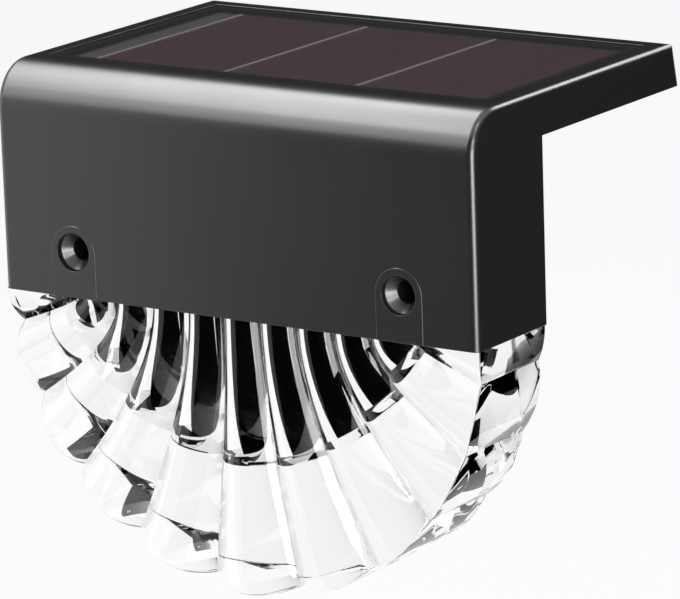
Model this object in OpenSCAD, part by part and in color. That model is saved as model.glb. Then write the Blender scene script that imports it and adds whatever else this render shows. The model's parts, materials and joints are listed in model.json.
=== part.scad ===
// Solar fence light: an L-shaped housing that hooks over a rail, a solar panel
// on its deck and a solid clear fluted half-round lens with a slotted shade below.
// Frame: X across, Y from the front towards the fence, Z up. The origin is midway
// between the two mounting screws, on the face that lies against the fence.

/* [Housing] */
// Width of the housing, and twice the radius of the lens
body_w = 115; // [108:1:130]
// Height of the front face
face_h = 47; // [47:1:60]
// Depth of the box, from the front face to the fence face
body_d = 25; // [25:0.5:32]
// Depth of the deck, from the front face to its rear lip
deck_d = 78; // [76:1:100]
// Thickness of the deck
deck_t = 9; // [9:0.5:14]
// How far the rear lip leans forward from bottom to top
lip_lean = 2; // [1:0.1:5]
// Wall thickness of the housing
wall = 2; // [1.6:0.1:2.4]
// Radius of the rolled edge between front face and deck
edge_r = 9; // [6:0.5:11]
// Fillet along the side edges of front face and deck
side_r = 1.5; // [0.6:0.1:1.7]
// Radius of the rear lip's top edge
lip_r = 2; // [1:0.25:4.5]
// Radius of the deck's rear corners, seen from above
corner_r = 1.5; // [1:0.25:3]
// Thickness of the rear cover
cover_t = 2; // [1.8:0.1:2.6]

/* [Mounting screws] */
// Distance between the two mounting holes
hole_span = 79; // [74:1:82]
// Height of the mounting holes above the bottom edge of the housing
hole_rise = 9.5; // [9.5:0.25:12]
// Radius of a mounting hole
hole_r = 2.3; // [1.8:0.1:2.6]
// Radius of a mounting hole's countersink
sink_r = 4; // [3.4:0.1:4.4]
// Depth of the countersink's cone
sink_d = 1.8; // [1.5:0.1:4]
// Straight land at the countersink's mouth
sink_land = 1.4; // [0.2:0.1:1.6]
// Outer radius of the tube around a mounting hole
tube_r = 4.6; // [4.4:0.1:4.8]
// Half width of the raised arch pad around a mounting hole
pad_r = 5.4; // [5:0.1:6.4]
// Height of the raised arch pad
pad_h = 0.15; // [0.1:0.05:0.6]

/* [Lens] */
// Angle of one flute, seen from the point where the flutes meet
flute_pitch = 17; // [14:0.1:18]
// Height of the point where the flutes meet, above the housing's bottom edge
fan_rise = 9; // [6:0.5:14]
// Depth of the valleys between the flutes at the rim
flute_depth = 4; // [2:0.25:5]
// Depth of the valleys around the rim
scallop = 1.8; // [1:0.1:3]
// How far the crests sit behind the front face
crest_back = 0.3; // [0.2:0.1:1.5]
// How far the lens sits in front of the fence face
lens_back = 0.3; // [0.2:0.1:1]
// Depth of the recess in the back of the lens
recess_d = 12; // [10:0.1:14]
// Depth of the shade's seat in that recess
seat_d = 7.7; // [6:0.1:9]
// Width of the shade's seat
seat_w = 1.5; // [1:0.1:2]
// Width of the window under the LEDs
window_w = 52; // [48:1:54]
// Depth of the window under the LEDs
window_d = 12; // [8:0.5:13]
// Thickness of the lens flange
flange_t = 2.2; // [1.6:0.1:2.4]
// Thickness of the lens seal
seal_t = 0.8; // [0.5:0.1:1]
// Width of the ledge that carries the lens flange
ledge_w = 1.2; // [1:0.1:1.6]
// Height of the ledge that carries the lens flange
ledge_t = 1.5; // [1:0.1:1.6]

/* [Shade] */
// Radius of the shade's lower edge
shade_r = 47; // [44:0.5:48.5]
// Height of that edge's centre above the housing's bottom edge
shade_rise = 13.5; // [12:0.5:20]
// How far the shade's middle sits left of the lens's middle
shade_shift = 7; // [0:0.5:8]
// Thickness of the shade
shade_t = 1.2; // [0.8:0.1:1.6]
// Distance between two slots of the shade
slot_pitch = 8.8; // [8:0.1:9.2]
// Width of a slot
slot_w = 2.8; // [1.5:0.1:3.5]
// Height of the straight part at the top of a slot
slot_drop = 2.7; // [1:0.1:4]

/* [Solar panel] */
// Width of the panel pocket
pocket_w = 106; // [96:1:107]
// Length of the panel pocket, front to back
pocket_l = 59; // [40:0.2:60.4]
// Distance from the front face to the pocket
pocket_front = 12.4; // [11.5:0.1:14]
// Thickness of the pocket floor
floor_t = 1.6; // [1.2:0.1:1.8]
// Width of the sealant bead around the panel
bead_w = 2; // [1:0.1:2.4]
// How far the panel's face lies below the deck
panel_sink = 0.3; // [0.2:0.1:1]
// Thickness of the panel's backing board
backing_t = 1; // [0.8:0.1:1.2]
// Thickness of a solar cell
cell_t = 0.25; // [0.2:0.05:0.4]
// Thickness of the clear cover over the cells
clear_t = 0.8; // [0.6:0.05:1.3]
// Number of full-width cells
cell_count = 3; // [2:1:4]
// Width of the bare strip left of the cells
strip_w = 6.4; // [2:0.2:16]
// Gap between two cells
cell_gap = 0.4; // [0.3:0.1:0.8]
// Margin in front of and behind the cells
cell_margin = 1.2; // [0.8:0.1:3]
// Width of a busbar ribbon
ribbon_w = 0.8; // [0.5:0.1:1.2]
// Thickness of a busbar ribbon
ribbon_t = 0.15; // [0.1:0.05:0.2]

/* [Battery] */
// Radius of the battery cell
cell_r = 7.1; // [6.6:0.1:7.2]
// Length of the battery cell without its button
cell_l = 49; // [46:0.5:50]
// Radius of the battery's button
button_r = 2.7; // [2:0.1:3]
// Height of the battery's button
button_h = 1; // [0.8:0.1:1.5]
// Centre of the battery across the housing
battery_x = -16; // [-17:0.5:-15]
// Length of the compressed battery spring
spring_l = 4; // [3.5:0.5:5]
// Wire radius of the battery spring
spring_wire = 0.35; // [0.25:0.05:0.45]
// Number of turns of the battery spring
spring_turns = 3.5; // [2.5:0.5:4]
// Thickness of the cradle's end walls
cradle_end = 1.6; // [1.2:0.1:2]
// Thickness of the contact plate
contact_t = 0.5; // [0.3:0.1:0.8]

/* [Switch] */
// Centre of the switch across the housing
switch_x = 31; // [29:0.5:33]
// Height of the switch above the mounting screws
switch_z = 18; // [17:0.5:19]
// Travel of the slide switch
switch_travel = 2; // [1.5:0.1:2.5]
// Width of the finger tray around the knob
tray_w = 12; // [11:0.5:14]
// Height of the finger tray around the knob
tray_h = 7; // [6:0.5:8]
// Depth of the finger tray
tray_d = 3.2; // [2.8:0.1:3.6]
// Width of the knob
knob_w = 3; // [2.6:0.1:3.4]
// Height of the knob
knob_h = 3.6; // [3:0.1:4]
// Side of the knob's square stem
stem = 1.8; // [1.4:0.1:2]

/* [Circuit boards] */
// Thickness of the circuit boards
board_t = 1.2; // [0.8:0.1:1.6]
// Width of the control board
control_w = 28; // [26:1:29]
// Height of the control board
control_h = 23; // [21:1:24]
// Width of the LED board
led_board_w = 62; // [60:1:64]
// Depth of the LED board
led_board_d = 16; // [14:0.5:18]
// Number of LEDs
led_count = 3; // [1:1:5]
// Distance between two LEDs
led_pitch = 16; // [8:0.5:11]
// Side of an LED package
led_w = 5; // [3:0.1:5]
// Height of an LED package
led_h = 1.6; // [1:0.1:2]
// Radius of a lead
lead_r = 0.6; // [0.4:0.1:0.7]

/* [Small screws] */
// Radius of a small screw's shank
shank_r = 1.05; // [0.9:0.05:1.2]
// Length of a cover screw
cover_screw_l = 4.5; // [4:0.25:4.5]
// Radius of a cover screw's flat head
head_r = 2.1; // [1.8:0.1:2.2]
// Radius of the screw bosses
boss_r = 3; // [2.6:0.1:3.2]
// Length of a board screw
board_screw_l = 4; // [3:0.5:5]

/* [Fits] */
// Assembly clearance between parts
gap = 0.2; // [0.1:0.05:0.3]
// Clearance around sliding and threaded parts
play = 0.05; // [0.02:0.01:0.1]

/* [Hidden] */
$fn = 64;
eps = 0.5;                               // overshoot of a cutter past the face it cuts

x_side = body_w / 2;                     // outer face of a side wall
x_in = x_side - wall;                    // inner face of a side wall
y_front = -body_d;                       // front face
y_in = y_front + wall;                   // inner face of the front wall
y_cover = -cover_t;                      // inner face of the rear cover
y_lip = y_front + deck_d;                // rear lip at its foot
y_lip_in = y_lip - lip_lean - wall;      // inner face of the rear lip
z_bot = -hole_rise;                      // bottom edge of the housing
z_top = z_bot + face_h;                  // deck
z_deck = z_top - deck_t;                 // underside of the deck

// Panel stack, from the deck down
pocket_d = panel_sink + clear_t + cell_t + backing_t;
pocket_y = y_front + pocket_front;
z_face = z_top - panel_sink;
z_cells = z_face - clear_t - cell_t;
z_pocket = z_top - pocket_d;
z_ceiling = z_pocket - floor_t;
panel_w = pocket_w - 2 * bead_w;
panel_l = pocket_l - 2 * bead_w;
panel_y = pocket_y + bead_w;
cell_pitch = (panel_w - strip_w) / cell_count;

// Lens seat, from the bottom edge up
lens_r = x_side;
z_seal = z_bot + ledge_t;
z_flange = z_seal + seal_t;
z_led = z_flange + flange_t;
neck_root = 1;                           // how far the neck reaches down into the flutes
neck_x = x_in - ledge_w - gap;
neck_y0 = y_in + ledge_w + gap;
neck_y1 = y_cover - ledge_w - gap;
y_crest = y_front + crest_back;
window_y = (y_in + y_cover) / 2;

// Flutes of the lens: each is a cone with its tip at the fan point and its crest parallel to the front face
z_fan = z_bot + fan_rise;
fan_reach = lens_r + fan_rise;
flute_half = flute_pitch / 2;
side_flutes = ceil((atan(lens_r / fan_rise) - flute_half) / flute_pitch);
cone_half = atan((norm([fan_reach / cos(flute_half), flute_depth]) - fan_reach) / flute_depth);
cone_l = 1.1 * fan_reach;
overlap = 2;                             // how far a flute runs into its neighbours, in degrees
lobe_r = (pow(lens_r * sin(flute_half), 2) + pow(scallop, 2)) / (2 * scallop);
function lobe_angle(i) = i * flute_pitch + asin(fan_rise * sin(i * flute_pitch) / lens_r);

// Solar panel
ribbon_room = 0.05;                      // how far the cover stays clear of the ribbons

// Shade in the recess of the lens: the slots start straight and bend outwards, as the flutes do
y_recess = -lens_back - recess_d;
y_seat = -lens_back - seat_d;
z_shade = z_bot + ledge_t - gap;
slot_steps = 10;
slot_turn = 21.5;                        // angle between two slots at the rim, beside the middle
slot_close = 0.7;                        // how much closer they get with every slot
slot_lean = 0.85;                        // share of its angle that a slot has turned at the rim
function slot_angle(k) = slot_turn * k - slot_close * k * abs(k);
function slot_end(k) = (lens_r - scallop) * [sin(slot_angle(k)), -cos(slot_angle(k))];
function slot_bend(k) = let (e = slot_end(k), x = slot_pitch * k)
    [x, min(0, e[1] + (e[0] - x) / tan(slot_lean * slot_angle(k)))];
function slot_line(k, t) = pow(1 - t, 2) * [slot_pitch * k, 0] + 2 * t * (1 - t) * slot_bend(k)
    + t * t * slot_end(k);

// Battery cradle
cradle_stand = 3;                        // distance from the front wall to the bore
cradle_lip = 2;                          // how far the cradle reaches past the battery's middle
contact_w = 7;
contact_h = 8;
contact_drop = 4;                        // how far the contact plate reaches in front of the battery's middle
cradle_bore = cell_r + gap;
cradle_wall = 1.2;
spring_r0 = 5.5;
spring_r1 = 2.8;
spring_steps = 16;
cradle_half = cell_l / 2 + button_h / 2 + spring_l / 2 + contact_t + cradle_end;
battery_y = y_in + cradle_stand + cradle_bore;
battery_z = z_top - edge_r - cradle_wall - cradle_bore;
cell_x0 = battery_x - cradle_half + cradle_end + spring_l;

// Control board, behind the switch
y_tray = -tray_d;
tray_floor = 1.2;
tray_wall = 1;
y_switch = y_tray - tray_floor;
switch_body_w = 8.6;
switch_body_h = 4.4;
switch_body_d = 3.5;
case_floor = 1;
knob_sink = 0.8;                         // how far the knob stays below the fence face
rib_d = 0.3;                             // grip grooves in the knob
rib_w = 0.4;
rib_pitch = 1;
y_board = y_switch - switch_body_d;
board_shift = 0.5;
control_x = switch_x - control_w / 2 + board_shift;
control_z = switch_z - control_h / 2 + board_shift;
stem_slot = stem + switch_travel + 4 * gap;
knob_x = switch_x - switch_travel / 2;
post_r = 2.2;
post_inset = 3;
chip_size = [5, 1.5, 4];
chip_at = [9, 8];                        // places on the board, from its lower left corner
choke_at = [20, 16];
choke_r = 3;
choke_h = 4;
can_at = [19, 6.5];
can_r = 2.5;
can_h = 5.5;
posts = [[control_x + post_inset, control_z + control_h - post_inset],
         [control_x + control_w - post_inset, control_z + post_inset]];

// Screws
bore_r = shank_r + play;
pass_r = shank_r + gap;
head_d = 1.3;                            // height of a flat head
pan_d = 1.1;                             // height of a pan head
pan_r = head_r - gap;
drive_w = 2.2;                           // cross recess
drive_slot = 0.5;
drive_d = 0.7;
bore_spare = 1;                          // depth of a bore past the screw's tip
boss_back = 1.2;                         // how far a boss of the cover stands off the side wall
boss_x = x_in - boss_r - boss_back;
low_screw_z = 4.3;
high_screw_z = z_deck - 5;
leg_screws = [for (s = [-1, 1], z = [low_screw_z, high_screw_z]) [s * boss_x, z]];
deck_screw_x = pocket_w / 2 - 5;
deck_screw_y = y_lip_in - boss_r;
led_screw_x = led_board_w / 2 - 2;

// Leads
lead_hole_x = switch_x - 2;
lead_hole_y = y_board - board_t - 2;
lead_hole_r = 2;
y_solder = y_board - board_t - lead_r;   // leads lie on the front face of the control board
lead_sides = 8;
panel_pad_pitch = 1.6;                   // distance between the panel's two solder pads
panel_pad_drop = 3;                      // these pads below the board's upper edge
battery_pads_at = [[4, 8], [5, 4]];      // solder pads on the board, from its lower left corner
led_pad_at = [12, 4];
led_pad_pitch = 2;                       // distance between the two solder pads of the LEDs
led_pad_inset = 8.2;                     // these pads from the right end of the LED board
lead_loop = 3;                           // how far the leads of the LEDs hang below the board

// ---------------------------------------------------------------- helpers

// Extrudes an outline drawn in Y and Z across X, centred
module across(width) {
    translate([-width / 2, 0, 0]) rotate([90, 0, 90]) linear_extrude(width) children();
}

// A box from its lowest corner to its highest
module box(low, high) {
    translate(low) cube(high - low);
}

// A cylinder along Y, from y0 to y1
module rod_y(x, z, y0, y1, r0, r1) {
    translate([x, y0, z]) rotate([-90, 0, 0]) cylinder(h = y1 - y0, r1 = r0, r2 = r1);
}

// Joins rings of points, listed in order, into one closed tube
module skin(rings) {
    n = len(rings[0]);
    m = len(rings);
    points = [for (ring = rings) each ring];
    sides = [for (i = [0:m - 2], j = [0:n - 1])
        [i * n + j, i * n + (j + 1) % n, (i + 1) * n + (j + 1) % n, (i + 1) * n + j]];
    first = [[for (j = [n - 1:-1:0]) j]];
    last = [[for (j = [0:n - 1]) (m - 1) * n + j]];
    polyhedron(points = points, faces = concat(sides, first, last), convexity = 6);
}

function unit(v) = v / norm(v);
function side_of(t) = unit(cross(t, abs(t[2]) < 0.9 ? [0, 0, 1] : [0, 1, 0]));

// A ring of n points round the centre c, square to the direction t
function ring(c, t, r, n) = let (u = side_of(t), v = cross(u, t))
    [for (k = [0:n - 1]) c + r * (cos(360 * k / n) * u + sin(360 * k / n) * v)];

// A Catmull-Rom curve through the points p, with s steps between two points
function spline_at(p, i, t) = let (n = len(p) - 1,
    a = p[max(i - 1, 0)], b = p[i], c = p[i + 1], d = p[min(i + 2, n)])
    0.5 * (2 * b + (c - a) * t + (2 * a - 5 * b + 4 * c - d) * t * t + (3 * b - a - 3 * c + d) * t * t * t);
function spline(p, s) = concat([for (i = [0:len(p) - 2], k = [0:s - 1]) spline_at(p, i, k / s)],
    [p[len(p) - 1]]);

// A round wire of radius r through the points p
module wire(p, r, sides) {
    n = len(p) - 1;
    skin([for (i = [0:n]) ring(p[i], unit(p[min(i + 1, n)] - p[max(i - 1, 0)]), r, sides)]);
}

// A pan-head screw standing on z = 0 with its shank below
module pan_screw(length) {
    difference() {
        union() {
            cylinder(h = pan_d, r = pan_r);
            translate([0, 0, -length]) cylinder(h = length + eps, r = shank_r);
        }
        drive(pan_d);
    }
}

// A countersunk screw whose flat head ends at z = 0
module flat_screw(length) {
    difference() {
        union() {
            translate([0, 0, -head_d]) cylinder(h = head_d, r1 = shank_r, r2 = head_r);
            translate([0, 0, -length]) cylinder(h = length - head_d / 2, r = shank_r);
        }
        drive(0);
    }
}

// A cross recess cut down from height z
module drive(z) {
    for (a = [0, 90]) rotate(a) translate([-drive_w / 2, -drive_slot / 2, z - drive_d])
        cube([drive_w, drive_slot, drive_d + eps]);
}

// ---------------------------------------------------------------- housing

// Side view of the box, with the wall taken off where inset is not 0
module leg_outline(inset, y_rear, z_low, z_high) {
    translate([y_front + inset, z_low]) square([y_rear - y_front - inset, z_top - edge_r - z_low]);
    intersection() {
        union() {
            translate([y_front + edge_r, z_top - edge_r]) circle(r = edge_r - inset);
            translate([y_front + edge_r, z_low]) square([y_rear - y_front - edge_r, z_high - z_low]);
        }
        translate([y_front, z_low]) square([y_rear - y_front, z_high - z_low]);
    }
}

// Side view of the deck, with a rear lip that leans forward and has a round top edge
module deck_outline() {
    slope = norm([deck_t, lip_lean]);
    reach = (lip_r * slope + (deck_t - lip_r) * lip_lean) / deck_t;
    centre = [y_lip - reach, z_top - lip_r];
    touch = centre + lip_r * [deck_t, lip_lean] / slope;
    polygon([[y_front + edge_r, z_deck], [y_lip, z_deck], touch, centre, [centre[0], z_top],
             [y_front + edge_r, z_top]]);
    translate(centre) circle(r = lip_r);
}

// What a fillet of radius side_r leaves of a square edge whose corner is at 0
module fillet_waste() {
    difference() {
        translate([-side_r, -side_r]) square(side_r + eps);
        translate([-side_r, -side_r]) circle(r = side_r);
    }
}

// Fillet along the right side edges: up the front, round the rolled edge and back along the deck
module edge_waste() {
    translate([x_side, y_front, z_bot - eps]) mirror([0, 1, 0])
        linear_extrude(z_top - edge_r - z_bot + eps) fillet_waste();
    translate([0, y_front + edge_r, z_top - edge_r]) rotate([0, 90, 0]) rotate(180)
        rotate_extrude(angle = 90) translate([edge_r, x_side]) fillet_waste();
    translate([x_side, y_front + edge_r, z_top]) rotate([-90, 0, 0]) mirror([0, 1, 0])
        linear_extrude(deck_d) fillet_waste();
}

// Round corner at the deck's rear right, leaning with the lip
module corner_waste() {
    translate([x_side - corner_r, y_lip, z_deck]) rotate([atan(lip_lean / deck_t), 0, 0])
        translate([0, -corner_r, -lip_lean]) linear_extrude(deck_t + 3 * lip_lean) difference() {
            square(corner_r + eps);
            circle(r = corner_r);
        }
}

module arch_pad(x) {
    box([x - pad_r, y_front - pad_h, z_bot], [x + pad_r, y_front + eps, 0]);
    rod_y(x, 0, y_front - pad_h, y_front + eps, pad_r, pad_r);
}

// Rib along the side walls and the front wall, from height z upwards
module groove_rib(z) {
    difference() {
        box([-x_in - eps, y_in - eps, z], [x_in + eps, y_cover - gap, z + ledge_t]);
        box([-x_in + ledge_w, y_in + ledge_w, z - eps], [x_in - ledge_w, eps, z + ledge_t + eps]);
    }
}

module front_shell() color([0.07, 0.07, 0.075]) difference() {
    union() {
        difference() {
            across(body_w) {
                leg_outline(0, 0, z_bot, z_top);
                deck_outline();
            }
            across(2 * x_in) leg_outline(wall, eps, z_bot - eps, z_ceiling);
            box([-x_in, -eps, z_deck - eps], [x_in, y_lip_in, z_ceiling]);
        }
        groove_rib(z_bot);
        groove_rib(z_led + play);
        for (s = [-1, 1]) {
            arch_pad(s * hole_span / 2);
            rod_y(s * hole_span / 2, 0, y_front + eps, 0, tube_r, tube_r);
            translate([s * deck_screw_x, deck_screw_y, z_deck + cover_t])
                cylinder(h = z_ceiling - z_deck - cover_t + eps, r = boss_r);
        }
        for (p = leg_screws) rod_y(p[0], p[1], y_in - eps, y_cover, boss_r, boss_r);
        for (p = posts) rod_y(p[0], p[1], y_in - eps, y_board - board_t, post_r, post_r);
    }
    for (s = [-1, 1]) {
        x = s * hole_span / 2;
        rod_y(x, 0, y_front - eps, eps, hole_r, hole_r);
        rod_y(x, 0, y_front - pad_h - eps, y_front - pad_h + sink_land, sink_r, sink_r);
        rod_y(x, 0, y_front - pad_h + sink_land, y_front - pad_h + sink_land + sink_d, sink_r, hole_r);
        translate([s * deck_screw_x, deck_screw_y, z_deck + cover_t - eps])
            cylinder(h = cover_screw_l - cover_t + 2 * eps, r = bore_r);
    }
    for (p = leg_screws) rod_y(p[0], p[1], -cover_screw_l - bore_spare, 0, bore_r, bore_r);
    for (p = posts) rod_y(p[0], p[1], y_board - board_t - board_screw_l, y_board, bore_r, bore_r);
    box([-pocket_w / 2, pocket_y, z_pocket], [pocket_w / 2, pocket_y + pocket_l, z_top + eps]);
    lead_hole();
    for (s = [0, 1]) mirror([s, 0, 0]) {
        edge_waste();
        corner_waste();
    }
}

// Where the panel's leads come down into the box
module lead_hole() {
    translate([lead_hole_x, lead_hole_y, z_ceiling - eps]) cylinder(h = floor_t + 2 * eps, r = lead_hole_r);
}

// L-shaped cover that closes the box and the deck, with a tray for the switch
module rear_cover() color([0.06, 0.06, 0.065]) difference() {
    union() {
        box([-x_in + gap, y_cover, z_bot], [x_in - gap, 0, z_deck + cover_t]);
        box([-x_in + gap, y_cover, z_deck], [x_in - gap, y_lip_in - gap, z_deck + cover_t]);
        box([-neck_x, y_cover - ledge_w, z_bot], [neck_x, y_cover + eps, z_bot + ledge_t]);
        box([switch_x - tray_w / 2 - tray_wall, y_switch, switch_z - tray_h / 2 - tray_wall],
            [switch_x + tray_w / 2 + tray_wall, y_cover + eps, switch_z + tray_h / 2 + tray_wall]);
    }
    for (s = [-1, 1]) {
        rod_y(s * hole_span / 2, 0, y_cover - eps, eps, tube_r + gap, tube_r + gap);
        translate([s * deck_screw_x, deck_screw_y, z_deck]) {
            translate([0, 0, -eps]) cylinder(h = cover_t + 2 * eps, r = pass_r);
            cylinder(h = head_d, r1 = head_r + play, r2 = shank_r + play);
        }
    }
    for (p = leg_screws) {
        rod_y(p[0], p[1], y_cover - eps, eps, pass_r, pass_r);
        rod_y(p[0], p[1], -head_d, 0, shank_r + play, head_r + play);
    }
    box([switch_x - tray_w / 2, y_tray, switch_z - tray_h / 2],
        [switch_x + tray_w / 2, eps, switch_z + tray_h / 2]);
    box([switch_x - stem_slot / 2, y_switch - eps, switch_z - stem / 2 - gap],
        [switch_x + stem_slot / 2, y_tray + eps, switch_z + stem / 2 + gap]);
}

// ---------------------------------------------------------------- lens

// Outline drawn in X and Z, extruded from y0 to y1
module facing(y0, y1) {
    translate([0, y1, 0]) rotate([90, 0, 0]) linear_extrude(y1 - y0) children();
}

// Scalloped outline of the whole lens, with its centre on the housing's bottom edge
module rim_outline() {
    translate([0, z_bot]) {
        circle(r = lens_r - 2 * scallop);
        for (i = [-side_flutes:side_flutes])
            rotate(lobe_angle(i)) translate([0, lobe_r - lens_r]) circle(r = lobe_r);
    }
}

// Sector that flute i fills, and a little of its neighbours
module sector_outline(i) {
    half_w = cone_l * tan(flute_half + overlap);
    translate([0, z_fan]) rotate(i * flute_pitch) polygon([[0, 0], [-half_w, -cone_l], [half_w, -cone_l]]);
}

// One flute: a cone in front of its axis and solid behind it
module flute(i) intersection() {
    facing(y_front, -lens_back) intersection() {
        rim_outline();
        sector_outline(i);
        translate([-lens_r, z_bot - lens_r]) square([body_w, lens_r]);
    }
    translate([0, y_crest, z_fan]) rotate([0, -i * flute_pitch, 0]) rotate([cone_half, 0, 0])
        translate([0, 0, -cone_l]) {
            cylinder(h = cone_l, r1 = cone_l * tan(cone_half), r2 = 0);
            translate([-cone_l / 2, 0, 0]) cube([cone_l, body_d, cone_l]);
        }
}

module lens() color([0.85, 0.88, 0.9, 0.4]) difference() {
    union() {
        for (i = [-side_flutes:side_flutes]) flute(i);
        box([-neck_x, neck_y0, z_bot - neck_root], [neck_x, neck_y1, z_flange + eps]);
        box([-x_in + gap, y_in + gap, z_flange], [x_in - gap, y_cover - gap, z_led]);
    }
    facing(y_seat, eps) segment(shade_r + gap, z_bot + ledge_t);
    facing(y_recess, y_seat + eps) segment(shade_r - seat_w, z_bot);
    box([-window_w / 2, window_y - window_d / 2, z_bot - eps],
        [window_w / 2, window_y + window_d / 2, z_led + eps]);
    for (s = [-1, 1]) translate([s * led_screw_x, window_y, z_led - board_screw_l + board_t])
        cylinder(h = board_screw_l, r = bore_r);
}

// Circular segment of radius r that hangs from height z, round the shade's centre
module segment(r, z) intersection() {
    translate([-shade_shift, z_bot + shade_rise]) circle(r = r);
    translate([-body_w / 2, z - body_w]) square(body_w);
}

// Slot k of the shade: halves count from the middle
module slot(k) {
    line = [for (i = [0:slot_steps]) slot_line(k, i / slot_steps)];
    rim = concat([[slot_pitch * k, slot_drop]], line);
    translate([0, z_bot - slot_drop])
        polygon(concat(rim, [for (i = [slot_steps + 1:-1:0]) rim[i] - [slot_w, 0]]));
}

module shade() color([0.02, 0.02, 0.02]) difference() {
    facing(y_seat, y_seat + shade_t) segment(shade_r, z_shade);
    for (i = [-5:4]) facing(y_seat - eps, y_seat + shade_t + eps) slot(i + 0.5);
}

module lens_seal() color([0.2, 0.2, 0.2]) difference() {
    box([-x_in + gap, y_in + gap, z_seal], [x_in - gap, y_cover - gap, z_flange]);
    box([-neck_x - play, neck_y0 - play, z_seal - eps], [neck_x + play, neck_y1 + play, z_flange + eps]);
}

// ---------------------------------------------------------------- solar panel

module panel_seal() color([0.03, 0.03, 0.03]) difference() {
    box([-pocket_w / 2, pocket_y, z_pocket], [pocket_w / 2, pocket_y + pocket_l, z_face]);
    box([-panel_w / 2, panel_y, z_pocket - eps], [panel_w / 2, panel_y + panel_l, z_face + eps]);
}

module panel_backing() color([0.1, 0.09, 0.09])
    box([-panel_w / 2, panel_y, z_pocket], [panel_w / 2, panel_y + panel_l, z_cells]);

// Left edge of cell i, the cells being set against the right side of the panel
function cell_x(i) = strip_w - panel_w / 2 + i * cell_pitch;

module solar_cells() color([0.28, 0.22, 0.23]) for (i = [0:cell_count - 1])
    box([cell_x(i), panel_y + cell_margin, z_cells],
        [cell_x(i) + cell_pitch - cell_gap, panel_y + panel_l - cell_margin, z_cells + cell_t]);

// Ribbons with some room around them, which is what the cover leaves free
module busbars(room = 0) color([0.62, 0.58, 0.58]) for (i = [0:cell_count - 1])
    box([cell_x(i) - room, panel_y + cell_margin - room, z_cells + cell_t],
        [cell_x(i) + ribbon_w + room, panel_y + panel_l - cell_margin + room,
            z_cells + cell_t + ribbon_t + room]);

module panel_cover() color([0.5, 0.5, 0.55, 0.3]) difference() {
    box([-panel_w / 2, panel_y, z_cells + cell_t], [panel_w / 2, panel_y + panel_l, z_face]);
    busbars(ribbon_room);
}

// ---------------------------------------------------------------- battery

module battery_cradle() color([0.1, 0.1, 0.1]) difference() {
    box([battery_x - cradle_half, y_in, battery_z - cradle_bore - cradle_wall],
        [battery_x + cradle_half, battery_y + cradle_lip, battery_z + cradle_bore + cradle_wall]);
    translate([battery_x - cradle_half + cradle_end, battery_y, battery_z]) rotate([0, 90, 0])
        cylinder(h = 2 * (cradle_half - cradle_end), r = cradle_bore);
    box([battery_x - cradle_half + cradle_end, battery_y, battery_z - cradle_bore],
        [battery_x + cradle_half - cradle_end, battery_y + cradle_lip + eps, battery_z + cradle_bore]);
}

module battery_cell() color([0.1, 0.35, 0.2])
    translate([cell_x0, battery_y, battery_z]) rotate([0, 90, 0]) {
        cylinder(h = cell_l, r = cell_r);
        translate([0, 0, cell_l - eps]) cylinder(h = button_h + eps, r = button_r);
    }

module positive_contact() color([0.75, 0.75, 0.72])
    translate([battery_x + cradle_half - cradle_end - contact_t, battery_y - contact_drop,
               battery_z - contact_h / 2])
        cube([contact_t, contact_w, contact_h]);

// Conical spring that pushes on the flat end of the cell
module negative_spring() color([0.75, 0.75, 0.72]) {
    count = spring_turns * spring_steps;
    run = spring_l - 2 * spring_wire;
    x0 = cell_x0 - spring_l + spring_wire;
    wire([for (i = [0:count])
        let (t = i / count, a = 360 * i / spring_steps, r = spring_r0 + (spring_r1 - spring_r0) * t)
        [x0 + run * t, battery_y + r * cos(a), battery_z + r * sin(a)]], spring_wire, 6);
}

// ---------------------------------------------------------------- electronics

module control_board() color([0.05, 0.3, 0.12]) difference() {
    box([control_x, y_board - board_t, control_z], [control_x + control_w, y_board, control_z + control_h]);
    for (p = posts) rod_y(p[0], p[1], y_board - board_t - eps, y_board + eps, pass_r, pass_r);
}

module control_chip() color([0.05, 0.05, 0.05])
    translate([control_x + chip_at[0], y_board - board_t - chip_size[1], control_z + chip_at[1]])
        cube(chip_size);

// A round part that stands on the front face of the control board
module on_board(at, r, h) {
    rod_y(control_x + at[0], control_z + at[1], y_board - board_t - h, y_board - board_t, r, r);
}

module choke_coil() color([0.45, 0.25, 0.1]) on_board(choke_at, choke_r, choke_h);

module filter_capacitor() color([0.15, 0.15, 0.35]) on_board(can_at, can_r, can_h);

module switch_body() color([0.7, 0.7, 0.7]) difference() {
    box([switch_x - switch_body_w / 2, y_board, switch_z - switch_body_h / 2],
        [switch_x + switch_body_w / 2, y_switch, switch_z + switch_body_h / 2]);
    box([switch_x - stem_slot / 2, y_board + case_floor, switch_z - stem / 2 - gap],
        [switch_x + stem_slot / 2, y_switch + eps, switch_z + stem / 2 + gap]);
}

// Sliding knob: a stem in the switch and a ribbed finger pad in the tray
module switch_knob() color([0.8, 0.8, 0.8]) {
    box([knob_x - stem / 2, y_board + case_floor + gap, switch_z - stem / 2],
        [knob_x + stem / 2, y_tray + 2 * gap, switch_z + stem / 2]);
    difference() {
        box([knob_x - knob_w / 2, y_tray + gap, switch_z - knob_h / 2],
            [knob_x + knob_w / 2, -knob_sink, switch_z + knob_h / 2]);
        for (s = [-1:1])
            translate([knob_x + s * rib_pitch - rib_w / 2, -knob_sink - rib_d, switch_z - knob_h / 2 - eps])
                cube([rib_w, rib_d + eps, knob_h + 2 * eps]);
    }
}

module led_board() color([0.9, 0.9, 0.88]) difference() {
    box([-led_board_w / 2, window_y - led_board_d / 2, z_led],
        [led_board_w / 2, window_y + led_board_d / 2, z_led + board_t]);
    for (s = [-1, 1]) translate([s * led_screw_x, window_y, z_led - eps])
        cylinder(h = board_t + 2 * eps, r = pass_r);
}

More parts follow.
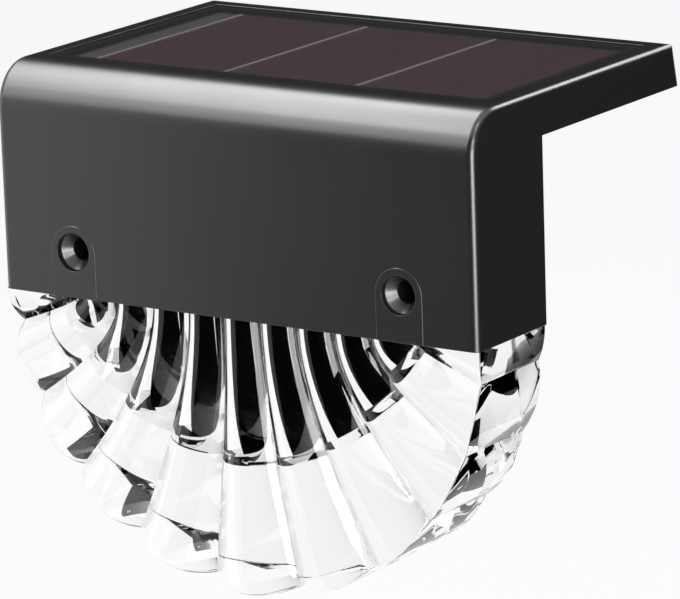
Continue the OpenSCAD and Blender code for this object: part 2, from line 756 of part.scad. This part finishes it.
module led_chips() color([0.95, 0.85, 0.45]) for (i = [0:led_count - 1])
    translate([(i - (led_count - 1) / 2) * led_pitch - led_w / 2, window_y - led_w / 2, z_led - led_h])
        cube([led_w, led_w, led_h]);

// ---------------------------------------------------------------- screws

module cover_screws() color([0.6, 0.6, 0.6]) {
    for (p = leg_screws) translate([p[0], 0, p[1]]) rotate([-90, 0, 0]) flat_screw(cover_screw_l);
    for (s = [-1, 1])
        translate([s * deck_screw_x, deck_screw_y, z_deck]) rotate([180, 0, 0]) flat_screw(cover_screw_l);
}

module board_screws() color([0.6, 0.6, 0.6])
    for (p = posts) translate([p[0], y_board, p[1]]) rotate([-90, 0, 0]) pan_screw(board_screw_l);

module led_board_screws() color([0.6, 0.6, 0.6])
    for (s = [-1, 1]) translate([s * led_screw_x, window_y, z_led + board_t]) pan_screw(board_screw_l);

// ---------------------------------------------------------------- leads

// Two leads side by side, the second moved by the offset
module lead_pair(route, offset) {
    for (k = [0, 1]) wire(spline([for (p = route) p + k * offset], 4), lead_r, lead_sides);
}

// Where a lead ends on the control board, at the place given from its lower left corner
function solder_at(pad) = [control_x + pad[0], y_solder, control_z + pad[1]];

module panel_leads() color([0.6, 0.1, 0.1]) {
    x = lead_hole_x - panel_pad_pitch / 2;
    lead_pair([[x, lead_hole_y, z_pocket - 2 * play],
               [x, lead_hole_y, z_ceiling],
               [x, y_solder - lead_r / 2, control_z + control_h],
               [x, y_solder, control_z + control_h - panel_pad_drop]], [panel_pad_pitch, 0, 0]);
}

module battery_leads() color([0.1, 0.1, 0.1]) {
    start_x = battery_x - cradle_half;
    end_x = battery_x + cradle_half;
    low_z = battery_z - cradle_bore - cradle_wall - lead_r - 2 * gap;
    bend = 4 * lead_r;
    wire(spline([[end_x + lead_r, battery_y + 1, battery_z],
                 [end_x + lead_r + bend / 2, battery_y, battery_z - 2 * bend],
                 solder_at(battery_pads_at[0])], 5), lead_r, lead_sides);
    wire(spline([[start_x - lead_r, battery_y, battery_z],
                 [start_x - 2 * lead_r, battery_y, low_z + bend],
                 [start_x + bend, battery_y, low_z],
                 [battery_x, battery_y, low_z],
                 [end_x - bend, battery_y, low_z],
                 solder_at(battery_pads_at[1])], 5), lead_r, lead_sides);
}

module led_leads() color([0.6, 0.1, 0.1])
    lead_pair([solder_at(led_pad_at),
               [control_x + led_pad_at[0], y_solder - 4 * lead_r, control_z - lead_loop],
               [led_board_w / 2 - led_pad_inset, window_y, z_led + board_t + lead_r]], [led_pad_pitch, 0, 0]);

// ---------------------------------------------------------------- nodes

front_shell();
rear_cover();
lens();
shade();
lens_seal();
panel_seal();
panel_backing();
solar_cells();
busbars();
panel_cover();
battery_cradle();
battery_cell();
positive_contact();
negative_spring();
control_board();
control_chip();
choke_coil();
filter_capacitor();
switch_body();
switch_knob();
led_board();
led_chips();
cover_screws();
board_screws();
led_board_screws();
panel_leads();
battery_leads();
led_leads();
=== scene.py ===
"""Dresses the solar fence light: camera, studio, materials and the detailed clear lens.

Sizes are in millimetres until mm() turns them into metres, except where a comment says metres.
X runs across the light, Y from its front into the fence and Z up, as in the CAD frame.
"""

import json
from math import asin, cos, hypot, pi, radians, sin, sqrt, tan

import bmesh
import bpy
from mathutils import Matrix, Vector


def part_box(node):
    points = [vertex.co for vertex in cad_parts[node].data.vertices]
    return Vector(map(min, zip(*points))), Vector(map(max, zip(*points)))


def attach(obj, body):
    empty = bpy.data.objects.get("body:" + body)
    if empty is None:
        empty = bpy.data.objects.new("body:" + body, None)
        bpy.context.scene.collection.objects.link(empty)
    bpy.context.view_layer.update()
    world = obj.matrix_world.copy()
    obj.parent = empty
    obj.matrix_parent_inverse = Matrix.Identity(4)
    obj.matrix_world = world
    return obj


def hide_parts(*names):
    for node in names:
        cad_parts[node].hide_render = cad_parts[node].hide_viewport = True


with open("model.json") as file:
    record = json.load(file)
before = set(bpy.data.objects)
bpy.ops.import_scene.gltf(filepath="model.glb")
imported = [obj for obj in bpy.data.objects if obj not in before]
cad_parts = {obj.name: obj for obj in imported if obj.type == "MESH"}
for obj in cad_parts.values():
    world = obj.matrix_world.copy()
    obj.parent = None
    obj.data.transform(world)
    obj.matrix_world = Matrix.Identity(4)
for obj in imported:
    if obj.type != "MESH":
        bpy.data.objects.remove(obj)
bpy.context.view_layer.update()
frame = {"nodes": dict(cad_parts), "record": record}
nodes = frame["nodes"]
scene = bpy.context.scene

MM = 0.001


def mm(*values):
    """Vector in metres, from values in millimetres."""
    return Vector(values) * MM


def corners(node):
    """Lowest and highest corner of a CAD node, in millimetres."""
    low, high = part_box(node)
    return Vector(low) / MM, Vector(high) / MM


shell_low, shell_high = corners("front_shell")
lens_low, lens_high = corners("lens")
shade_low = corners("shade")[0]
Z_EDGE = shell_low.z                   # bottom edge of the housing
Z_TOP = shell_high.z                   # deck
WIDTH = shell_high.x - shell_low.x

# ------------------------------------------------------------------ camera

CAM_AZIMUTH, CAM_ELEVATION, CAM_ROLL = 34.601, 14.154, -1.926      # degrees
CAM_DISTANCE, CAM_RIGHT, CAM_UP = 8.492, 0.196, -0.361             # in widths of the housing
CAM_FOCAL, IMAGE_W = 4972.049, 680                                 # pixels
CAM_SENSOR = 36
CAM_CLIP = 10                          # metres
CREST_BACK = 0.3                       # how far the flutes' crests sit behind the front face


def make_camera():
    """Camera fitted to the photograph, placed from the middle of the deck's front edge."""
    a, e, roll = radians(CAM_AZIMUTH), radians(CAM_ELEVATION), radians(CAM_ROLL)
    back = Vector((sin(a) * cos(e), -cos(a) * cos(e), sin(e)))
    right = (-back).cross(Vector((0, 0, 1))).normalized()
    up = right.cross(-back)
    side = cos(roll) * right + sin(roll) * up
    top = cos(roll) * up - sin(roll) * right
    centre = back * CAM_DISTANCE + CAM_RIGHT * side + CAM_UP * top
    place = centre * WIDTH * MM + mm(0, lens_low.y - CREST_BACK, Z_TOP)
    data = bpy.data.cameras.new("camera")
    data.sensor_width = CAM_SENSOR
    data.lens = CAM_FOCAL / IMAGE_W * CAM_SENSOR
    data.clip_end = CAM_CLIP
    camera = bpy.data.objects.new("camera", data)
    scene.collection.objects.link(camera)
    rows = [[side[k], top[k], back[k], place[k]] for k in range(3)]
    camera.matrix_world = Matrix(rows + [[0, 0, 0, 1]])
    scene.camera = camera


make_camera()

# ------------------------------------------------------------------ material helpers


def new_material(name, colour, roughness, metallic=0.0, **sockets):
    """Principled material; the other sockets are named with _ for a space."""
    material = bpy.data.materials.new(name)
    material.use_nodes = True
    shader = material.node_tree.nodes["Principled BSDF"]
    shader.inputs["Base Color"].default_value = (*colour, 1)
    shader.inputs["Roughness"].default_value = roughness
    shader.inputs["Metallic"].default_value = metallic
    for socket, value in sockets.items():
        shader.inputs[socket.replace("_", " ")].default_value = value
    return material


def noise(tree, scale, detail, stretch=(1, 1, 1)):
    """Noise in the object's own coordinates; scale counts per metre."""
    place = tree.nodes.new("ShaderNodeTexCoord")
    mapping = tree.nodes.new("ShaderNodeMapping")
    mapping.inputs["Scale"].default_value = stretch
    texture = tree.nodes.new("ShaderNodeTexNoise")
    texture.inputs["Scale"].default_value = scale
    texture.inputs["Detail"].default_value = detail
    tree.links.new(place.outputs["Object"], mapping.inputs[0])
    tree.links.new(mapping.outputs[0], texture.inputs["Vector"])
    return texture.outputs["Fac"]


def vary_roughness(material, source, low, high):
    """Roughness from low to high, as source says."""
    tree = material.node_tree
    span = tree.nodes.new("ShaderNodeMapRange")
    span.inputs["To Min"].default_value = low
    span.inputs["To Max"].default_value = high
    tree.links.new(source, span.inputs["Value"])
    tree.links.new(span.outputs[0], tree.nodes["Principled BSDF"].inputs["Roughness"])


def vary_colour(material, source, first, second, start=0.35, end=0.65):
    """Colour from first to second, as source goes from start to end."""
    tree = material.node_tree
    ramp = tree.nodes.new("ShaderNodeValToRGB")
    stops = ramp.color_ramp.elements
    stops[0].position, stops[0].color = start, (*first, 1)
    stops[1].position, stops[1].color = end, (*second, 1)
    tree.links.new(source, ramp.inputs[0])
    tree.links.new(ramp.outputs[0], tree.nodes["Principled BSDF"].inputs["Base Color"])


# ------------------------------------------------------------------ studio

WORLD_GREY = 0.08                      # what lights the object
SEEN_RAYS = ("Is Camera Ray", "Is Glossy Ray", "Is Transmission Ray")
FLOOR_DROP = 120                       # below the lens
FLOOR_SIZE = 12000
FLOOR_WHITE = 0.9                      # share of its look that doesn't depend on the light
FLOOR_GREY, FLOOR_ROUGHNESS = 0.8, 0.9
CARD_GREY, CARD_ROUGHNESS = 0.01, 0.5

LIGHTS = {
    # name: direction from the object, distance (metres), size (metres), radiance
    "key": ((-0.56, -0.10, 0.82), 1.1, (0.24, 1.3), 9.3),
    "slope": ((-0.56, -0.68, 0.47), 1.0, (0.3, 0.5), 4.0),
    "left": ((-0.80, -0.55, -0.10), 0.40, (0.30, 0.30), 0.8),
    "edge": ((0.79, -0.56, -0.12), 0.7, (0.40, 0.40), 10.0),
    "corner": ((0.50, -0.27, 0.82), 0.9, (0.2, 0.2), 10.0),
    "rear": ((0.24, 0.79, 0.56), 1.0, (0.4, 0.25), 9.0),
    "holes": ((0.70, -0.60, 0.38), 1.0, (0.25, 0.25), 13.0),
}
CARDS = {
    # name: lowest and highest corner (metres), in a plane square to one axis
    "card_front": ((-1.2, -1.05, -0.18), (1.2, -1.05, 1.0)),
    "card_front_floor": ((-1.2, -1.05, -0.18), (1.2, -0.27, -0.18)),
    "card_right": ((1.0, -1.05, -0.18), (1.0, 2.6, 0.9)),
    "card_right_floor": ((0.10, -0.10, -0.18), (1.0, 2.6, -0.18)),
    "card_rear": ((-2.4, 1.1, -0.10), (1.0, 1.1, 1.6)),
}


def seen_factor(tree):
    """Output that is 1 for the rays that see the white background."""
    path = tree.nodes.new("ShaderNodeLightPath")
    total = path.outputs[SEEN_RAYS[0]]
    for kind in SEEN_RAYS[1:]:
        add = tree.nodes.new("ShaderNodeMath")
        add.operation, add.use_clamp = "ADD", True
        tree.links.new(total, add.inputs[0])
        tree.links.new(path.outputs[kind], add.inputs[1])
        total = add.outputs[0]
    return total


def make_world():
    """Dim world that looks white where it is seen."""
    world = bpy.data.worlds.new("studio")
    scene.world = world
    world.use_nodes = True
    tree = world.node_tree
    tree.nodes.clear()
    out = tree.nodes.new("ShaderNodeOutputWorld")
    mix = tree.nodes.new("ShaderNodeMixShader")
    dim = tree.nodes.new("ShaderNodeBackground")
    dim.inputs["Color"].default_value = (WORLD_GREY, WORLD_GREY, WORLD_GREY, 1)
    white = tree.nodes.new("ShaderNodeBackground")
    white.inputs["Color"].default_value = (1, 1, 1, 1)
    tree.links.new(seen_factor(tree), mix.inputs[0])
    tree.links.new(dim.outputs[0], mix.inputs[1])
    tree.links.new(white.outputs[0], mix.inputs[2])
    tree.links.new(mix.outputs[0], out.inputs[0])


def facing(direction):
    """Rotation with local Z along direction, and local X as near the world's X as it can be."""
    z = Vector(direction).normalized()
    x = (Vector((1, 0, 0)) - z.x * z).normalized()
    return Matrix((x, z.cross(x), z)).transposed().to_euler()


def make_lights():
    for name, (direction, distance, size, radiance) in LIGHTS.items():
        data = bpy.data.lights.new(name, "AREA")
        data.shape, data.energy = "RECTANGLE", radiance * pi * size[0] * size[1]
        data.size, data.size_y = size
        light = bpy.data.objects.new(name, data)
        light.location = Vector(direction).normalized() * distance
        light.rotation_euler = facing(direction)
        light.visible_transmission = False
        scene.collection.objects.link(light)


def make_cards():
    """Dark cards that only reflections see, as a photographer sets them round a glossy object.

    The lens sees the front ones too.
    """
    dark = new_material("card", (CARD_GREY,) * 3, CARD_ROUGHNESS, Specular_IOR_Level=0)
    for name, (low, high) in CARDS.items():
        flat = [k for k in range(3) if low[k] == high[k]][0]
        first, second = [k for k in range(3) if k != flat]
        points = [list(low), list(low), list(high), list(low)]
        points[1][first], points[3][second] = high[first], high[second]
        mesh = bpy.data.meshes.new(name)
        mesh.from_pydata(points, [], [(0, 1, 2, 3)])
        mesh.materials.append(dark)
        card = bpy.data.objects.new(name, mesh)
        card.visible_camera = card.visible_diffuse = card.visible_shadow = False
        card.visible_transmission = name.startswith("card_front")
        scene.collection.objects.link(card)


def make_floor():
    """Pale floor that takes the object's shadow and looks nearly white where it is seen."""
    half = FLOOR_SIZE / 2
    z = lens_low.z - FLOOR_DROP
    mesh = bpy.data.meshes.new("floor")
    square = ((-half, -half), (half, -half), (half, half), (-half, half))
    mesh.from_pydata([mm(x, y, z) for x, y in square], [], [(0, 1, 2, 3)])
    floor = bpy.data.objects.new("floor", mesh)
    scene.collection.objects.link(floor)
    material = new_material("floor", (FLOOR_GREY,) * 3, FLOOR_ROUGHNESS)
    tree = material.node_tree
    glow = tree.nodes.new("ShaderNodeEmission")
    share = tree.nodes.new("ShaderNodeMath")
    share.operation = "MULTIPLY"
    share.inputs[1].default_value = FLOOR_WHITE
    mix = tree.nodes.new("ShaderNodeMixShader")
    tree.links.new(seen_factor(tree), share.inputs[0])
    tree.links.new(share.outputs[0], mix.inputs[0])
    tree.links.new(tree.nodes["Principled BSDF"].outputs[0], mix.inputs[1])
    tree.links.new(glow.outputs[0], mix.inputs[2])
    tree.links.new(mix.outputs[0], tree.nodes["Material Output"].inputs[0])
    mesh.materials.append(material)


make_world()
make_lights()
make_cards()
make_floor()
scene.view_settings.view_transform = "Standard"

# ------------------------------------------------------------------ materials

GLOSS_SCALE, GLOSS_DETAIL, GLOSS_SPREAD = 60, 3, 0.03       # the plastic's slightly uneven gloss
GRAIN_SCALE, GRAIN_DETAIL, GRAIN_DEPTH = 2600, 1, 0.02      # the plastic's fine grain
EDGE_SAMPLES = 6
BRUSH_SCALE, BRUSH_DETAIL = 900, 2
BRUSH_SMOOTHER, BRUSH_ROUGHER = 0.05, 0.08
TRACE_SCALE, TRACE_DETAIL, TRACE_STRETCH = 420, 1, (1, 1, 0.25)
TRACE_GAIN, TRACE_START, TRACE_END = 1.35, 0.48, 0.52
CELL_BASE, CELL_MOTTLE = (0.046, 0.024, 0.027), (0.052, 0.029, 0.032)
CELL_SCALE, CELL_DETAIL = 320, 3
LENS_IOR = 1.49


def add_bump(material, source, strength):
    tree = material.node_tree
    bump = tree.nodes.new("ShaderNodeBump")
    bump.inputs["Strength"].default_value = strength
    bump.inputs["Distance"].default_value = GRAIN_DEPTH * MM
    tree.links.new(source, bump.inputs["Height"])
    tree.links.new(bump.outputs[0], tree.nodes["Principled BSDF"].inputs["Normal"])


def moulded(name, colour, roughness, grain=0.25, edge=0, **sockets):
    """Moulded plastic with a fine grain; edge is how far its edges look rounded."""
    material = new_material(name, colour, roughness, **sockets)
    tree = material.node_tree
    vary_roughness(material, noise(tree, GLOSS_SCALE, GLOSS_DETAIL),
                   roughness - GLOSS_SPREAD, roughness + GLOSS_SPREAD)
    add_bump(material, noise(tree, GRAIN_SCALE, GRAIN_DETAIL), grain)
    if edge:
        soften = tree.nodes.new("ShaderNodeBevel")
        soften.samples = EDGE_SAMPLES
        soften.inputs["Radius"].default_value = edge * MM
        tree.links.new(soften.outputs[0], tree.nodes["Bump"].inputs["Normal"])
    return material


def metal(name, colour, roughness, stretch=(1, 1, 1)):
    """Metal with faint brushing, drawn out by stretch."""
    material = new_material(name, colour, roughness, metallic=1.0)
    vary_roughness(material, noise(material.node_tree, BRUSH_SCALE, BRUSH_DETAIL, stretch),
                   roughness - BRUSH_SMOOTHER, roughness + BRUSH_ROUGHER)
    return material


def board(name, colour):
    """Solder mask with faint copper traces below it."""
    material = new_material(name, colour, 0.35)
    lighter = [min(1, c * TRACE_GAIN) for c in colour]
    traces = noise(material.node_tree, TRACE_SCALE, TRACE_DETAIL, TRACE_STRETCH)
    vary_colour(material, traces, colour, lighter, TRACE_START, TRACE_END)
    return material


def silicon(name):
    """Dark solar cells with a faint mottle."""
    material = new_material(name, CELL_BASE, 0.30, Specular_IOR_Level=0.3)
    mottle = noise(material.node_tree, CELL_SCALE, CELL_DETAIL)
    vary_colour(material, mottle, CELL_BASE, CELL_MOTTLE)
    return material


MATERIALS = {
    "housing": moulded("housing", (0.010, 0.010, 0.010), 0.30, edge=0.2, Specular_IOR_Level=1.0),
    "lens": new_material("lens", (1, 1, 1), 0.0, Transmission_Weight=1.0, IOR=LENS_IOR),
    "shade": moulded("shade", (0.002, 0.002, 0.002), 0.9, 0.1, Specular_IOR_Level=0.0),
    "seal": moulded("seal", (0.010, 0.010, 0.010), 0.8, 0.1, Specular_IOR_Level=0.1),
    "backing": moulded("backing", (0.026, 0.021, 0.021), 0.7, Specular_IOR_Level=0.2),
    "cells": silicon("cells"),
    "ribbon": moulded("ribbon", (0.17, 0.14, 0.14), 0.5, 0.1),
    "panel_cover": new_material("panel_cover", (0.3, 0.3, 0.3), 0.12, Alpha=0.08),
    "inner_plastic": moulded("inner_plastic", (0.02, 0.02, 0.02), 0.5),
    "battery": new_material("battery", (0.03, 0.22, 0.09), 0.3, metallic=0.3),
    "contact": metal("contact", (0.72, 0.70, 0.66), 0.22),
    "board": board("board", (0.010, 0.085, 0.030)),
    "chip": moulded("chip", (0.015, 0.015, 0.016), 0.45, 0.4),
    "copper": metal("copper", (0.62, 0.27, 0.10), 0.3, (1, 12, 1)),
    "can": new_material("can", (0.02, 0.02, 0.09), 0.35, metallic=0.4),
    "switch_case": metal("switch_case", (0.60, 0.60, 0.61), 0.35),
    "knob": moulded("knob", (0.62, 0.62, 0.62), 0.4),
    "led_board": moulded("led_board", (0.82, 0.82, 0.80), 0.35, 0.1),
    "led": new_material("led", (0.85, 0.62, 0.12), 0.25),
    "screw": metal("screw", (0.58, 0.58, 0.60), 0.28),
    "lead": moulded("lead", (0.32, 0.02, 0.02), 0.45, 0.1),
}
MOTTLES = {
    # slot: scale, first and second colour
    "battery": (40, (0.028, 0.20, 0.08), (0.032, 0.24, 0.10)),
    "can": (60, (0.018, 0.018, 0.08), (0.022, 0.022, 0.10)),
    "led": (500, (0.80, 0.56, 0.10), (0.90, 0.68, 0.15)),
}
MOTTLE_DETAIL = 1
COVER_SCALE, COVER_DETAIL, COVER_ROUGHNESS = 80, 3, (0.10, 0.16)

for name, (scale, first, second) in MOTTLES.items():
    mottled = MATERIALS[name]
    vary_colour(mottled, noise(mottled.node_tree, scale, MOTTLE_DETAIL), first, second)
cover = MATERIALS["panel_cover"]
vary_roughness(cover, noise(cover.node_tree, COVER_SCALE, COVER_DETAIL), *COVER_ROUGHNESS)

for row in frame["record"]["subparts"]:
    mesh = nodes[row["node"]].data
    mesh.materials.clear()
    mesh.materials.append(MATERIALS[row["material_slot"]])

# ------------------------------------------------------------------ mesh helpers

CUT_REACH = 1e-7                       # metres; how near a point has to be to lie on the cut


def make_object(name, mesh):
    thing = bpy.data.objects.new(name, mesh)
    scene.collection.objects.link(thing)
    return thing


def closed_mesh(name, points, faces, top=None):
    """Mesh with its normals turned outwards, cut off flat at the height top if that is given."""
    mesh = bpy.data.meshes.new(name)
    mesh.from_pydata([mm(*p) for p in points], [], faces)
    work = bmesh.new()
    work.from_mesh(mesh)
    if top is not None:
        everything = work.verts[:] + work.edges[:] + work.faces[:]
        cut = bmesh.ops.bisect_plane(work, geom=everything, dist=CUT_REACH, plane_co=mm(0, 0, top),
                                     plane_no=(0, 0, 1), clear_outer=True)
        rim = [e for e in cut["geom_cut"] if isinstance(e, bmesh.types.BMEdge)]
        bmesh.ops.edgeloop_fill(work, edges=rim)
    bmesh.ops.recalc_face_normals(work, faces=work.faces[:])
    work.to_mesh(mesh)
    work.free()
    return mesh


def prism(name, outline, y0, y1):
    """Outline in X and Z, filled between y0 and y1."""
    n = len(outline)
    points = [(x, y, z) for y in (y0, y1) for x, z in outline]
    ends = [tuple(range(n)), tuple(range(2 * n - 1, n - 1, -1))]
    sides = [((i + 1) % n, i, i + n, (i + 1) % n + n) for i in range(n)]
    return make_object(name, closed_mesh(name, points, ends + sides))


def block(name, low, high):
    outline = [(low[0], low[2]), (high[0], low[2]), (high[0], high[2]), (low[0], high[2])]
    return prism(name, outline, low[1], high[1])


def combine(thing, other, operation):
    """Joins other to thing or cuts it out of thing; other is used up."""
    step = thing.modifiers.new("step", "BOOLEAN")
    step.object, step.operation, step.solver = other, operation, "EXACT"
    evaluated = thing.evaluated_get(bpy.context.evaluated_depsgraph_get())
    result = bpy.data.meshes.new_from_object(evaluated)
    thing.modifiers.clear()
    thing.data = result
    bpy.data.objects.remove(other)


# ------------------------------------------------------------------ lens

RIM_R = WIDTH / 2
FLUTES_EACH_SIDE = 5
SEAM_PITCH = 8.8                       # distance between two seams at the housing
SEAM_TURN, SEAM_CLOSE = 21.5, 0.7      # degrees between two seams at the rim, and less per flute
SEAM_LEAN = 0.85                       # share of its angle that a seam has turned at the rim
RIM_SCALLOP = 1.2                      # depth of the notches round the rim
RIM_BULGE = 0.5                        # half width of a rim lobe over its radius
FLUTE_SLOPE = 46, 60                   # degrees beside a seam, at the rim and at the housing
LENS_EDGE = 0.4                        # rounding of the rim
ROUND_START = 0.9                      # share of LENS_EDGE where a flute gives way to the rim
COLUMNS_PER_FLUTE, ROWS, ROUND_STEPS, RIM_STEPS = 20, 40, 4, 6
ABOVE = 0.6                            # how far the flutes run up behind the housing's edge
NEARLY_MIDDLE = 1e-3                   # in flutes; the middle line takes its bend from here

# plan of each: its lowest X and Y, and its highest
NECK = ((-54.1, -21.6), (54.1, -3.4))
FLANGE = ((-55.3, -22.8), (55.3, -2.2))
WINDOW = ((-26.0, -18.5), (26.0, -6.5))
FLANGE_Z, LED_Z = -7.2, -5.0           # the flange's underside and its top
NECK_ROOT = 1.0                        # how deep the neck starts in the flutes
NECK_OVERLAP = 0.2                     # of neck and flange
WINDOW_DIP = 0.5                       # the window's floor, below the housing's edge
WINDOW_OPEN = 1                        # how far it is cut past the flange's top

SHADE_R = 47.0                         # radius of the shade's lower edge
SHADE_RISE, SHADE_SHIFT = 13.5, -7.0   # its centre, above the housing's edge and to the side
SHADE_GAP = 0.03                       # air in front of the shade
SEAT_FIT, SEAT_STEP = 0.2, 1.5         # seat wider, and recess narrower, than the shade
SEAT_RISE, RECESS_RISE = 1.5, 0.02     # their tops, above the housing's edge
RECESS_DEPTH = 12.0                    # from the lens's back
RECESS_OVERLAP = 0.3                   # of recess and seat
BEHIND = 1                             # Y of a place behind the lens's back
ARC_STEPS = 128
SMOOTH_ANGLE = 25                      # degrees; sharper edges than this stay sharp


def rim_angle(k):
    """Angle from straight down at which line k meets the rim."""
    return radians(SEAM_TURN * k - SEAM_CLOSE * k * abs(k))


def across(k):
    """Place across a flute, from -1 at its left seam to 1 at its right one."""
    return 2 * (k - round(k))


def rim_radius(k):
    sag = (1 - sqrt(1 - (RIM_BULGE * across(k)) ** 2)) / (1 - sqrt(1 - RIM_BULGE ** 2))
    return RIM_R - RIM_SCALLOP * sag


def flute_line(k):
    """Start, bend and end, in X and Z, of the line down the lens k flutes from its middle."""
    near = k if abs(k) > NEARLY_MIDDLE else NEARLY_MIDDLE
    angle, radius = rim_angle(near), rim_radius(near)
    x0, end = SEAM_PITCH * near, (radius * sin(angle), -radius * cos(angle))
    bend = min(ABOVE, end[1] + (end[0] - x0) / tan(SEAM_LEAN * angle))
    return (SEAM_PITCH * k, ABOVE), (x0, bend), (rim_radius(k) * sin(rim_angle(k)), end[1])


def on_line(k, t):
    """X and Z on line k, from its start at t 0 to its end at t 1."""
    a, b, c = flute_line(k)
    return [(1 - t) ** 2 * a[i] + 2 * t * (1 - t) * b[i] + t * t * c[i] for i in (0, 1)]


def half_width(k, t):
    """Half the width of the flute that line k is on."""
    i = max(1 - FLUTES_EACH_SIDE, min(FLUTES_EACH_SIDE - 1, round(k)))
    left, right = on_line(i - 0.5, t), on_line(i + 0.5, t)
    return hypot(right[0] - left[0], right[1] - left[1]) / 2


def flute_sag(u, t):
    """How far the skin lies behind its crest at u across the flute, over its half width."""
    slope = sin(radians(FLUTE_SLOPE[0] * t + FLUTE_SLOPE[1] * (1 - t)))
    return (1 - sqrt(1 - (u * slope) ** 2)) / slope


def lens_column(k):
    """Points of the lens's skin along line k: down the front, round the rim and up the back."""
    start, bend, end = flute_line(k)
    run = Vector((end[0] - bend[0], end[1] - bend[1])).normalized()
    last = 1 - ROUND_START * LENS_EDGE / hypot(end[0] - start[0], end[1] - start[1])
    column = []
    for j in range(ROWS + 1):
        t = last * j / ROWS
        x, z = on_line(k, t)
        column.append((x, lens_low.y + half_width(k, t) * flute_sag(across(k), t), z))
    y_front, y_back = column[-1][1], lens_high.y
    for q in range(1, ROUND_STEPS + 1):
        turn = q / ROUND_STEPS * pi / 2
        inset, y = LENS_EDGE * (1 - sin(turn)), y_front + LENS_EDGE * (1 - cos(turn))
        column.append((end[0] - run.x * inset, y, end[1] - run.y * inset))
    for q in range(1, RIM_STEPS):
        y = y_front + LENS_EDGE + (y_back - 2 * LENS_EDGE - y_front) * q / RIM_STEPS
        column.append((end[0], y, end[1]))
    for q in range(ROUND_STEPS + 1):
        turn = q / ROUND_STEPS * pi / 2
        inset, y = LENS_EDGE * (1 - cos(turn)), y_back - LENS_EDGE * (1 - sin(turn))
        column.append((end[0] - run.x * inset, y, end[1] - run.y * inset))
    column.append((start[0], y_back, start[1]))
    return [(x, y, z + Z_EDGE) for x, y, z in column]


def segment(radius, z_high):
    """Outline of a circle round the shade's centre, below z_high."""
    rise = Z_EDGE + SHADE_RISE - z_high
    first = pi + asin(rise / radius)
    outline = []
    for i in range(ARC_STEPS + 1):
        angle = first + (3 * pi - 2 * first) * i / ARC_STEPS
        outline.append((SHADE_SHIFT + radius * cos(angle), z_high + rise + radius * sin(angle)))
    return outline


def fluted_body():
    """The fluted half round, cut off flat at the housing's edge."""
    count = 2 * FLUTES_EACH_SIDE * COLUMNS_PER_FLUTE
    columns = [lens_column(2 * FLUTES_EACH_SIDE * i / count - FLUTES_EACH_SIDE)
               for i in range(count + 1)]
    rows = len(columns[0])
    faces = [(i * rows + j, (i + 1) * rows + j,
              (i + 1) * rows + (j + 1) % rows, i * rows + (j + 1) % rows)
             for i in range(count) for j in range(rows)]
    faces += [tuple(range(rows)), tuple(count * rows + j for j in range(rows - 1, -1, -1))]
    points = [p for column in columns for p in column]
    return make_object("lens_body", closed_mesh("lens_body", points, faces, Z_EDGE))


def make_lens():
    """Flutes with the neck and flange that hang them, the shade's seat, its recess and the window."""
    lens = fluted_body()
    neck = block("neck", (*NECK[0], Z_EDGE - NECK_ROOT), (*NECK[1], FLANGE_Z + NECK_OVERLAP))
    combine(lens, neck, "UNION")
    flange = block("flange", (*FLANGE[0], FLANGE_Z), (*FLANGE[1], LED_Z))
    combine(lens, flange, "UNION")
    seat = prism("seat", segment(SHADE_R + SEAT_FIT, Z_EDGE + SEAT_RISE),
                 shade_low.y - SHADE_GAP, BEHIND)
    combine(lens, seat, "DIFFERENCE")
    recess = prism("recess", segment(SHADE_R - SEAT_STEP, Z_EDGE + RECESS_RISE),
                   lens_high.y - RECESS_DEPTH, shade_low.y + RECESS_OVERLAP)
    combine(lens, recess, "DIFFERENCE")
    window = block("window", (*WINDOW[0], Z_EDGE - WINDOW_DIP), (*WINDOW[1], LED_Z + WINDOW_OPEN))
    combine(lens, window, "DIFFERENCE")
    for face in lens.data.polygons:
        face.use_smooth = True
    lens.data.set_sharp_from_angle(angle=radians(SMOOTH_ANGLE))
    lens.data.materials.clear()
    lens.data.materials.append(MATERIALS["lens"])
    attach(lens, "housing")
    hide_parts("lens")


make_lens()
